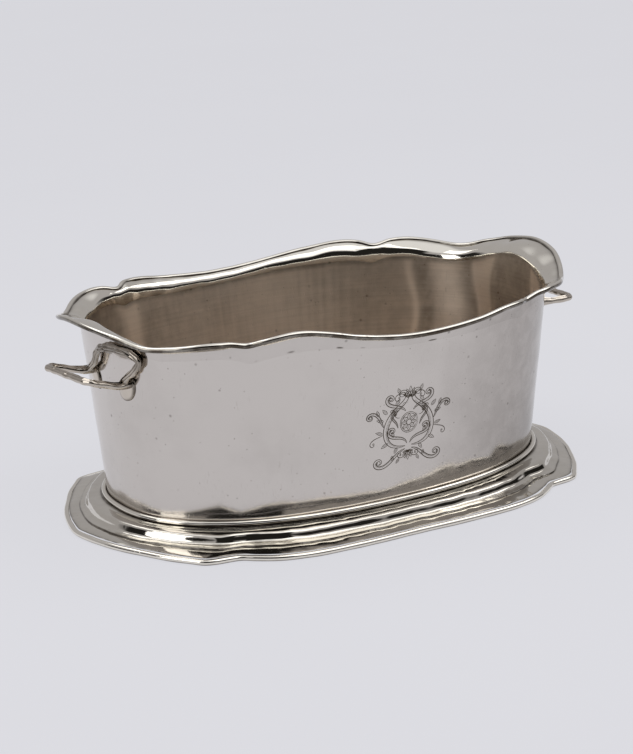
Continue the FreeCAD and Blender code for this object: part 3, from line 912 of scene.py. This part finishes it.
def rod_grid(path, wide, thick, face, reeding):
    """Rows of a forged band along a path: an oval ring at each point, wide across and thick
    towards face, with reeds running along its outer side, and rounded ends."""
    ahead = np.gradient(path, axis=0)
    ahead /= np.linalg.norm(ahead, axis=-1, keepdims=True)
    side = np.cross(ahead, face)
    side /= np.linalg.norm(side, axis=-1, keepdims=True)
    out = np.cross(side, ahead)
    around = round_rod()
    reed = 1 + reeding * reeds(around) * np.clip(np.sin(around), 0, 1)
    ring = ((np.cos(around) * wide[:, None])[..., None] * side[:, None, :]
            + (np.sin(around) * reed * thick[:, None])[..., None] * out[:, None, :])
    grid = path[:, None, :] + ring
    grid = grid + 0.22 * MM * ripple(grid, 0.009, 51)[..., None] * ring / thick.mean()
    share = np.linspace(0.05, 0.5, END_ROWS + 1)[:-1] * math.pi
    size = np.sin(share)[:, None, None]
    push = np.cos(share)[:, None, None] * ROD_END
    start = path[0] + (grid[0] - path[0])[None] * size - ahead[0] * push
    end = path[-1] + (grid[-1] - path[-1])[None] * size + ahead[-1] * push
    return np.concatenate([start, grid, end[::-1]])


def capped_piece(side, name, node_name, grid, patina_and_shade):
    """A handle piece from rows along it at the right end, closed by a small fan of faces at
    each end; side left takes it to the left end of the bucket."""
    rows, cols = grid.shape[:2]
    mirrored = side == "left"
    if mirrored:
        grid = grid * np.array([-1, 1, 1.0])
    points = np.concatenate([grid.reshape(-1, 3), [grid[0].mean(0), grid[-1].mean(0)]])
    ring = np.arange(cols)
    after = (ring + 1) % cols
    last = (rows - 1) * cols
    first_fan = np.stack([ring, after, np.full(cols, rows * cols)], axis=-1)
    last_fan = np.stack([last + after, last + ring, np.full(cols, rows * cols + 1)], axis=-1)
    sides = grid_faces(rows, cols, False, True)[:, ::-1]
    faces = [face for group in (sides, first_fan, last_fan)
             for face in (group[:, ::-1] if mirrored else group).tolist()]
    patina_and_shade = np.broadcast_to(patina_and_shade, (rows, cols))
    patina_and_shade = np.append(patina_and_shade, [patina_and_shade[0, 0], patina_and_shade[-1, 0]])
    piece = put_mesh(side + "_" + name, points, faces, patina_and_shade, [handle_silver()], sharp=50)
    hand_over(piece, "handle_silver", side + "_" + node_name)


def reed_patina_and_shade(patina_and_shade):
    """Values along a band, spread round it, with its ends' rows and darker in the valleys
    between its reeds, patina and painted shade."""
    patina_and_shade = np.concatenate([np.full(END_ROWS, patina_and_shade[0]), patina_and_shade, np.full(END_ROWS, patina_and_shade[-1])])
    around = round_rod()
    valley = np.clip(-reeds(around) - 0.2, 0, 1) * np.clip(np.sin(around), 0, 1)
    return np.clip(patina_and_shade[:, None] + 0.75 * valley, 0, 1)


def near_ends(distance, reach):
    """1 at the ends of a path, fading out over about reach."""
    return np.exp(-(distance / reach) ** 2)


def run_of(path):
    """Running length along a path, and the distance to its nearer end."""
    run = np.concatenate([[0], np.cumsum(np.linalg.norm(np.diff(path, axis=0), axis=-1))])
    return run, np.minimum(run, run[-1] - run)


def pad_frame(middle, sign):
    """Pad centre on the wall, the way out and the pad's long axis; sign is -1 in front of the
    handle's middle and 1 behind it."""
    s = sizes()
    y = middle + sign * (s.handle_spread / 2 - s.pad_hang * math.sin(PAD_TILT))
    seat, out, up = end_frame(y, s.handle_height - s.pad_hang * math.cos(PAD_TILT))
    aside = np.cross(up, out) * sign
    return seat, out, up * math.cos(PAD_TILT) + aside * math.sin(PAD_TILT)


def make_grip(side, middle):
    """Grip: out from one pad, along the outer bar and back to the other pad, a flat reeded
    band that swells into each root."""
    s = sizes()
    reach = end_frame(0.0, s.handle_height)[0][0]
    arms = []
    for sign, (past, along, above) in zip((-1, 1), GRIP_CORNERS[side]):
        seat, out, long_axis = pad_frame(middle, sign)
        root = seat + long_axis * s.pad_hang + out * 1.2 * MM
        elbow = root + out * 8.5 * MM
        corner = np.array([reach + past * MM, middle + along * MM,
                           s.handle_height + above * MM])
        arms.append([root, elbow, corner])
    path = bent_path(arms[0] + arms[1][::-1], [12 * MM, 9 * MM, 9 * MM, 12 * MM], 0.8 * MM)
    run, end = run_of(path)
    wide = 1 + 0.60 * near_ends(end, 13 * MM) + 0.04 * np.sin(run / (7 * MM))
    deep = 1 + GRIP_ROOT[side] * near_ends(end, 10 * MM)
    grid = rod_grid(path, s.grip_rod * 1.18 * wide, s.grip_rod * 0.98 * deep,
                    np.array([0, 0, 1.0]), 0.16)
    # Darker towards the roots: patina and painted shade where the grip meets its pads
    patina_and_shade = np.exp(-end / (5 * MM)) * 0.9 + 0.32
    capped_piece(side, "grip", "handle_loop", grid, reed_patina_and_shade(patina_and_shade))


def make_brace(side, middle):
    """Brace: an arched reeded band that lies along the wall above the grip's roots, broad in
    the arch and narrow in the legs."""
    s = sizes()
    points = []
    for along, above, off in BRACE_LINE[side]:
        seat, out, up = end_frame(middle + along * MM, s.handle_height + above * MM)
        points.append(seat + out * off * MM)
    path = smooth_path(points, 0.8 * MM)
    run, end = run_of(path)
    arch = np.clip(end / (26 * MM), 0, 1)
    root = near_ends(end, 4 * MM)
    wide = s.brace_rod * (0.95 + 0.50 * arch + 0.5 * root) + 0.15 * MM * np.sin(run / (5 * MM))
    thick = s.brace_rod * (0.95 - 0.10 * arch + 0.3 * root)
    grid = rod_grid(path, wide, thick, np.array([1.0, 0, 0]), 0.20)
    # Darker towards the ends, patina and painted shade where the brace meets the wall, and darker
    # over the arch
    patina_and_shade = np.exp(-end / (5 * MM)) * 0.9 + 0.25 + 0.45 * arch**2
    capped_piece(side, "brace", "handle_brace", grid, reed_patina_and_shade(patina_and_shade))


def make_pad(side, which, middle, sign):
    """Solder pad: a low leaf-shaped dome on the wall, its lower end drawn to a blunt point."""
    s = sizes()
    seat, out, long_axis = pad_frame(middle, sign)
    short_axis = np.cross(out, long_axis)
    count = 72
    around = np.arange(count) / count * TURN
    share = np.concatenate([np.linspace(0.03, 1, PAD_ROWS), [1.0, 0.6, 0.03]])[:, None]
    front = np.arange(len(share))[:, None] < PAD_ROWS
    point = 1 + 0.10 * np.exp(-((np.cos(around) + 1) / 0.15) ** 2)
    rib = 0.25 * MM * np.exp(-(np.sin(around) * share / 0.16) ** 2) * (1 - share)
    high = s.pad_long * np.cos(around) * point
    wide = s.pad_wide * np.sin(around) * (1 - 0.10 * np.cos(around))
    dome = 2.4 * MM * np.sqrt(np.clip(1 - share**2.4, 0, 1)) + 0.1 * MM + rib
    dome = np.where(front, dome, -1.2 * MM) * np.ones(count)
    grid = (seat + long_axis * (share * high)[..., None] + short_axis * (share * wide)[..., None]
            + out * dome[..., None])
    # Darker round the edge: patina and painted shade where the pad meets the wall
    patina_and_shade = 0.2 + np.clip((share - 0.75) * 4, 0, 0.8)
    capped_piece(side, which + "_solder_pad", which + "_pad", grid, patina_and_shade)


class BUCKET_OT_handles(bpy.types.Operator):
    """Two fixed handles, each a grip and a brace on two pads"""
    bl_idname = "bucket.handles"
    bl_label = "Handles"

    def execute(self, context):
        for side, middle in HANDLE_MIDDLE.items():
            make_grip(side, middle)
            make_brace(side, middle)
            make_pad(side, "front", middle, -1)
            make_pad(side, "rear", middle, 1)
        return {"FINISHED"}


# ---- engraving ------------------------------------------------------------------------------
def flourish(start, heading, length, bends):
    """Line that starts at a point with a heading and turns at a smoothly changing rate."""
    count = max(12, int(length / 0.4))
    at = np.arange(-1, len(bends) + 1) / (len(bends) - 1)
    rate = np.concatenate([bends[:1], bends, bends[-1:]]).astype(float)
    way = np.radians(heading + np.cumsum(through(at, rate, np.linspace(0, 1, count))) / count)
    steps = np.stack([np.cos(way), np.sin(way)], axis=-1) * (length / count)
    return np.array(start) + np.cumsum(steps, axis=0)


def to_the_left(ahead):
    """Directions turned a quarter to the left."""
    return np.stack([-ahead[:, 1], ahead[:, 0]], axis=-1)


def leaf(along, above, heading, length, half_width):
    """Outline of a pointed leaf and its vein."""
    share = np.linspace(0, 1, 16)[:, None]
    way = math.radians(heading)
    ahead = np.array([[math.cos(way), math.sin(way)]])
    line = np.array([along, above]) + share * length * ahead
    swing = half_width * np.sin(math.pi * share**0.8) * to_the_left(ahead)
    return [(line + swing, 0.72), (line - swing, 0.72), (line[2:12], 0.5)]


def band(line, half_width):
    """Two outlines either side of a line, and slanting hatches between them."""
    ahead = np.gradient(line, axis=0)
    ahead /= np.linalg.norm(ahead, axis=-1, keepdims=True)
    aside = to_the_left(ahead)
    share = np.linspace(0, 1, len(line))
    wide = (half_width * np.sin(math.pi * np.clip(share * 1.06, 0, 1)) ** 0.6)[:, None]
    strokes = [(line + aside * wide, 1.0), (line - aside * wide, 1.0)]
    for i in range(8, int(len(line) * 0.72), 4):
        mid, half = line[i], aside[i] * wide[i]
        slant = ahead[i] * 0.8
        share = np.linspace(-0.1, 0.78, 5)[:, None]
        strokes.append((mid + half * share + slant * share, 0.5))
    return strokes


def ring(along, above, half_long, half_high, count=48):
    """Closed oval line."""
    turn = np.linspace(0, TURN, count)
    return np.stack([along + half_long * np.cos(turn), above + half_high * np.sin(turn)], axis=-1)


def ornament_strokes():
    """Every engraved line as (points along and above in mm, width in mm)."""
    half = []
    for start, heading, length, bends, half_width in SCROLLS:
        line = flourish(start, heading, length, bends)
        half += band(line, half_width) if half_width else [(line, 0.9)]
        half.append((ring(*line[-1], 0.9, 0.9, 14), 0.6))
    for row in LEAVES:
        half += leaf(*row)
    strokes = half + [(line * np.array([-1, 1]), width) for line, width in half]
    for along, above, heading, size in PALMETTES:
        for turn in (-76, -50, -25, 0, 25, 50, 76):
            reach = size * (1 - abs(turn) / 170)
            strokes += leaf(along, above, heading + turn, reach, reach * 0.16)
    along, above, half_long, half_high = ROSETTE
    for share in (1.0, 0.86, 0.26):
        strokes.append((ring(along, above, half_long * share, half_high * share), 0.7))
    for turn in np.arange(8) * 45:
        way = math.radians(turn)
        reach = 0.60 * math.hypot(half_long * math.cos(way), half_high * math.sin(way))
        strokes += leaf(along + 0.24 * half_long * math.cos(way),
                        above + 0.24 * half_high * math.sin(way), turn, reach, 1.9)
    return strokes


def on_front(along, above, height):
    """Points over the front of the wall, height above its uneven surface; along and above are
    from the ornament's middle."""
    s = sizes()
    x, z = s.ornament_along + along, s.ornament_above + above
    half_length, half_width, share = oval(z)
    y = -beside(x, half_length, half_width, share)
    return wall_skin(np.arctan2(y, x) % TURN, z, -height)


# Section of an engraved line with its turned-up edges: (share of the half width, height in mm,
# tarnish).
CUT = [(-1.0, -0.10, 1.0), (-0.75, 0.07, 0.8), (-0.45, 0.03, 1.8), (0.0, 0.015, 1.8),
       (0.45, 0.03, 1.8), (0.75, 0.07, 0.8), (1.0, -0.10, 1.0), (0.0, -0.25, 1.0)]


def cut_line(line, width):
    """Rows of points of one engraved line laid on the wall, drawn to a point at both ends."""
    line = line * sizes().ornament_scale * np.array([1, sizes().ornament_rise])
    ahead = np.gradient(line, axis=0)
    ahead /= np.maximum(np.linalg.norm(ahead, axis=-1, keepdims=True), 1e-9)
    across, high, _ = np.array(CUT).T
    taper = np.sin(np.linspace(0.12, math.pi - 0.12, len(line))) ** 0.4
    reach = (across * width / 2 * taper[:, None])[..., None]
    x, z = np.moveaxis(line[:, None] + to_the_left(ahead)[:, None] * reach, -1, 0) * MM
    return on_front(x, z, high * MM * np.ones(x.shape))


class BUCKET_OT_ornament(bpy.types.Operator):
    """Engraved scrolls, leaves and a rosette on the front of the bowl"""
    bl_idname = "bucket.ornament"
    bl_label = "Engraved ornament"

    def execute(self, context):
        sides = len(CUT)
        end = np.arange(sides)
        points, faces, first = [], [], 0
        for line, width in ornament_strokes():
            rows = cut_line(line, width)
            last = first + (len(rows) - 1) * sides
            points.append(rows.reshape(-1, 3))
            faces += (grid_faces(len(rows), sides, False, True)[:, ::-1] + first).tolist()
            faces += [(end + first).tolist(), (end[::-1] + last).tolist()]
            first = last + sides
        patina_and_shade = np.tile([row[2] for row in CUT], first // sides)
        piece = put_mesh("engraved_ornament", np.concatenate(points), faces, patina_and_shade,
                         [wall_silver()])
        hand_over(piece, "body_silver")
        return {"FINISHED"}


# ---- stage --------------------------------------------------------------------------------
# Soft boxes: name, direction and elevation in degrees, distance, width, height and watts.
LAMPS = [("front", 300, 60, 1.4, 1.5, 1.0, 4.5), ("left", 188, 22, 2.0, 0.80, 1.1, 5.5),
         ("back_left", 135, 60, 1.6, 1.0, 0.8, 3.0), ("right", 345, 42, 2.0, 0.8, 0.8, 3.0)]


# Camera: direction from the front, height and roll in degrees, distance, what it aims at along
# its own right and up, lens and height of its sensor in mm.
CAMERA_TURN, CAMERA_RISE, CAMERA_ROLL = -28.7, 16.2, -2.4
CAMERA_AWAY = 2.0
CAMERA_AIM = (-0.0068, 0.0945)
CAMERA_LENS, CAMERA_SENSOR = 105.04, 36.0
# What the lamps aim at.
LAMP_TARGET = (0, 0, 0.08)
# Share of its own light in what the camera and the metal see of the floor.
FLOOR_GLOW = 0.85
FLOOR_HALF = 12.0
# Colours of the studio: its unlit front, its walls and its ceiling.
UNLIT = (0.016, 0.015, 0.014, 1)
WALLS = (0.42, 0.41, 0.42, 1)
CEILING = (0.80, 0.80, 0.82, 1)


def make_camera():
    """Camera with a long lens, low and to the left of the front, turned slightly."""
    turn, rise, roll = (math.radians(a) for a in (CAMERA_TURN, CAMERA_RISE, CAMERA_ROLL))
    back = np.array([math.sin(turn) * math.cos(rise), -math.cos(turn) * math.cos(rise),
                     math.sin(rise)])
    level = np.array([math.cos(turn), math.sin(turn), 0.0])
    upright = np.cross(back, level)
    right = level * math.cos(roll) + upright * math.sin(roll)
    up = upright * math.cos(roll) - level * math.sin(roll)
    spot = right * CAMERA_AIM[0] + up * CAMERA_AIM[1] + back * CAMERA_AWAY
    lens = bpy.data.cameras.new("camera")
    lens.sensor_fit = "VERTICAL"
    lens.sensor_height = CAMERA_SENSOR
    lens.lens = CAMERA_LENS
    eye = put_object("camera", lens)
    place = np.identity(4)
    place[:3] = np.stack([right, up, back, spot], axis=-1)
    eye.matrix_world = Matrix(place.tolist())
    bpy.context.scene.camera = eye


def soft_lamp(name, turn, rise, away, wide, high, watts):
    """Rectangular area lamp in a direction, aimed at the bucket."""
    turn, rise = math.radians(turn), math.radians(rise)
    spot = Vector((math.cos(rise) * math.cos(turn), math.cos(rise) * math.sin(turn),
                   math.sin(rise))) * away
    data = bpy.data.lights.new(name, "AREA")
    data.shape = "RECTANGLE"
    data.size = wide
    data.size_y = high
    data.energy = watts
    lamp = put_object(name, data)
    lamp.location = spot
    lamp.rotation_euler = (Vector(LAMP_TARGET) - spot).to_track_quat("-Z", "Y").to_euler()


def plain_floor():
    """Large matt floor with a faint mottle. What the camera and the metal see is partly its
    own light, so that it stays even far away and the shadow on it soft."""
    mesh = bpy.data.meshes.new("floor")
    corners = [(x * FLOOR_HALF, y * FLOOR_HALF, 0)
               for x, y in ((-1, -1), (1, -1), (1, 1), (-1, 1))]
    mesh.from_pydata(corners, [], [(0, 1, 2, 3)])
    floor = put_object("floor", mesh)
    material = bpy.data.materials.new("Pale studio floor")
    tree = bare_tree(material)
    colour = bpy.context.scene.bucket_stage.floor
    darker = tuple(c * 0.985 for c in colour)
    mottle = noise(tree, object_place(tree), 3.0, 2.0)
    shade = mix_colour(tree, mottle, (*colour, 1), (*darker, 1))
    matt = node(tree, "ShaderNodeBsdfDiffuse", Color=shade)
    glow = node(tree, "ShaderNodeEmission", Color=shade, Strength=1.0)
    ray = tree.nodes.new("ShaderNodeLightPath").outputs
    seen = most(tree, ray["Is Camera Ray"],
                most(tree, ray["Is Glossy Ray"], ray["Is Transmission Ray"]))
    both = node(tree, "ShaderNodeMixShader", Fac=times(tree, seen, FLOOR_GLOW))
    tree.links.new(matt.outputs[0], both.inputs[1])
    tree.links.new(glow.outputs[0], both.inputs[2])
    give_out(tree, "ShaderNodeOutputMaterial", both)
    mesh.materials.append(material)


def studio_room():
    """World of a studio: pale grey behind, white overhead, a dark band low in front where the
    room is unlit, and a taller dark place in it where someone stands."""
    world = bpy.data.worlds.new("Studio")
    tree = bare_tree(world)
    way = tree.nodes.new("ShaderNodeTexCoord").outputs["Generated"]
    x, y, z = node(tree, "ShaderNodeSeparateXYZ", Vector=way).outputs
    turned = plus(tree, y, times(tree, x, 0.25))
    front = between(tree, minus(tree, 0.0, turned), -0.34, -0.16)
    left = beyond(tree, x, 0.25, 0.55)
    low = beyond(tree, minus(tree, z, times(tree, left, 0.16)), 0.20, 0.30)
    aside = minus(tree, times(tree, x, 0.875), times(tree, y, 0.485))
    narrow = beyond(tree, maths(tree, "ABSOLUTE", aside), 0.30, 0.38)
    figure = times(tree, narrow, beyond(tree, z, 0.70, 0.80))
    dark = times(tree, most(tree, low, figure), front)
    dark = times(tree, dark, between(tree, z, -0.02, 0.03))
    room = mix_colour(tree, between(tree, z, 0.62, 0.85), WALLS, CEILING)
    shade = mix_colour(tree, dark, room, UNLIT)
    background = node(tree, "ShaderNodeBackground", Color=shade, Strength=1.0)
    give_out(tree, "ShaderNodeOutputWorld", background)
    bpy.context.scene.world = world


class BUCKET_OT_stage(bpy.types.Operator):
    """Pale floor, soft studio lamps and the camera"""
    bl_idname = "bucket.stage"
    bl_label = "Stage"

    def execute(self, context):
        plain_floor()
        studio_room()
        make_camera()
        for lamp in LAMPS:
            soft_lamp(*lamp)
        context.scene.view_settings.view_transform = "Standard"
        return {"FINISHED"}


class BUCKET_PT_panel(bpy.types.Panel):
    """Sidebar list of the bucket's pieces and sizes"""
    bl_idname = "BUCKET_PT_panel"
    bl_label = "Silver bucket"
    bl_space_type = "VIEW_3D"
    bl_region_type = "UI"
    bl_category = "Bucket"

    def draw(self, context):
        layout = self.layout
        for operator in STEPS:
            layout.operator(operator.bl_idname)
        for group in (context.scene.bucket_sizes, context.scene.bucket_finish,
                      context.scene.bucket_stage):
            box = layout.box()
            for key in group.bl_rna.properties.keys():
                if key not in {"rna_type", "name"}:
                    box.prop(group, key)


STEPS = (BUCKET_OT_bowl, BUCKET_OT_bottom, BUCKET_OT_rim, BUCKET_OT_foot, BUCKET_OT_handles,
         BUCKET_OT_ornament, BUCKET_OT_stage)
GROUPS = {"bucket_sizes": BucketSizes, "bucket_finish": BucketFinish, "bucket_stage": BucketStage}


def register():
    for cls in (*GROUPS.values(), *STEPS, BUCKET_PT_panel):
        bpy.utils.register_class(cls)
    for key, group in GROUPS.items():
        setattr(bpy.types.Scene, key, PointerProperty(type=group))


def unregister():
    for key in GROUPS:
        delattr(bpy.types.Scene, key)
    for cls in reversed((*GROUPS.values(), *STEPS, BUCKET_PT_panel)):
        bpy.utils.unregister_class(cls)


def main():
    register()
    bpy.ops.bucket.bowl()
    bpy.ops.bucket.bottom()
    bpy.ops.bucket.rim()
    bpy.ops.bucket.foot()
    bpy.ops.bucket.handles()
    bpy.ops.bucket.ornament()
    bpy.ops.bucket.stage()


if __name__ == "__main__":
    main()
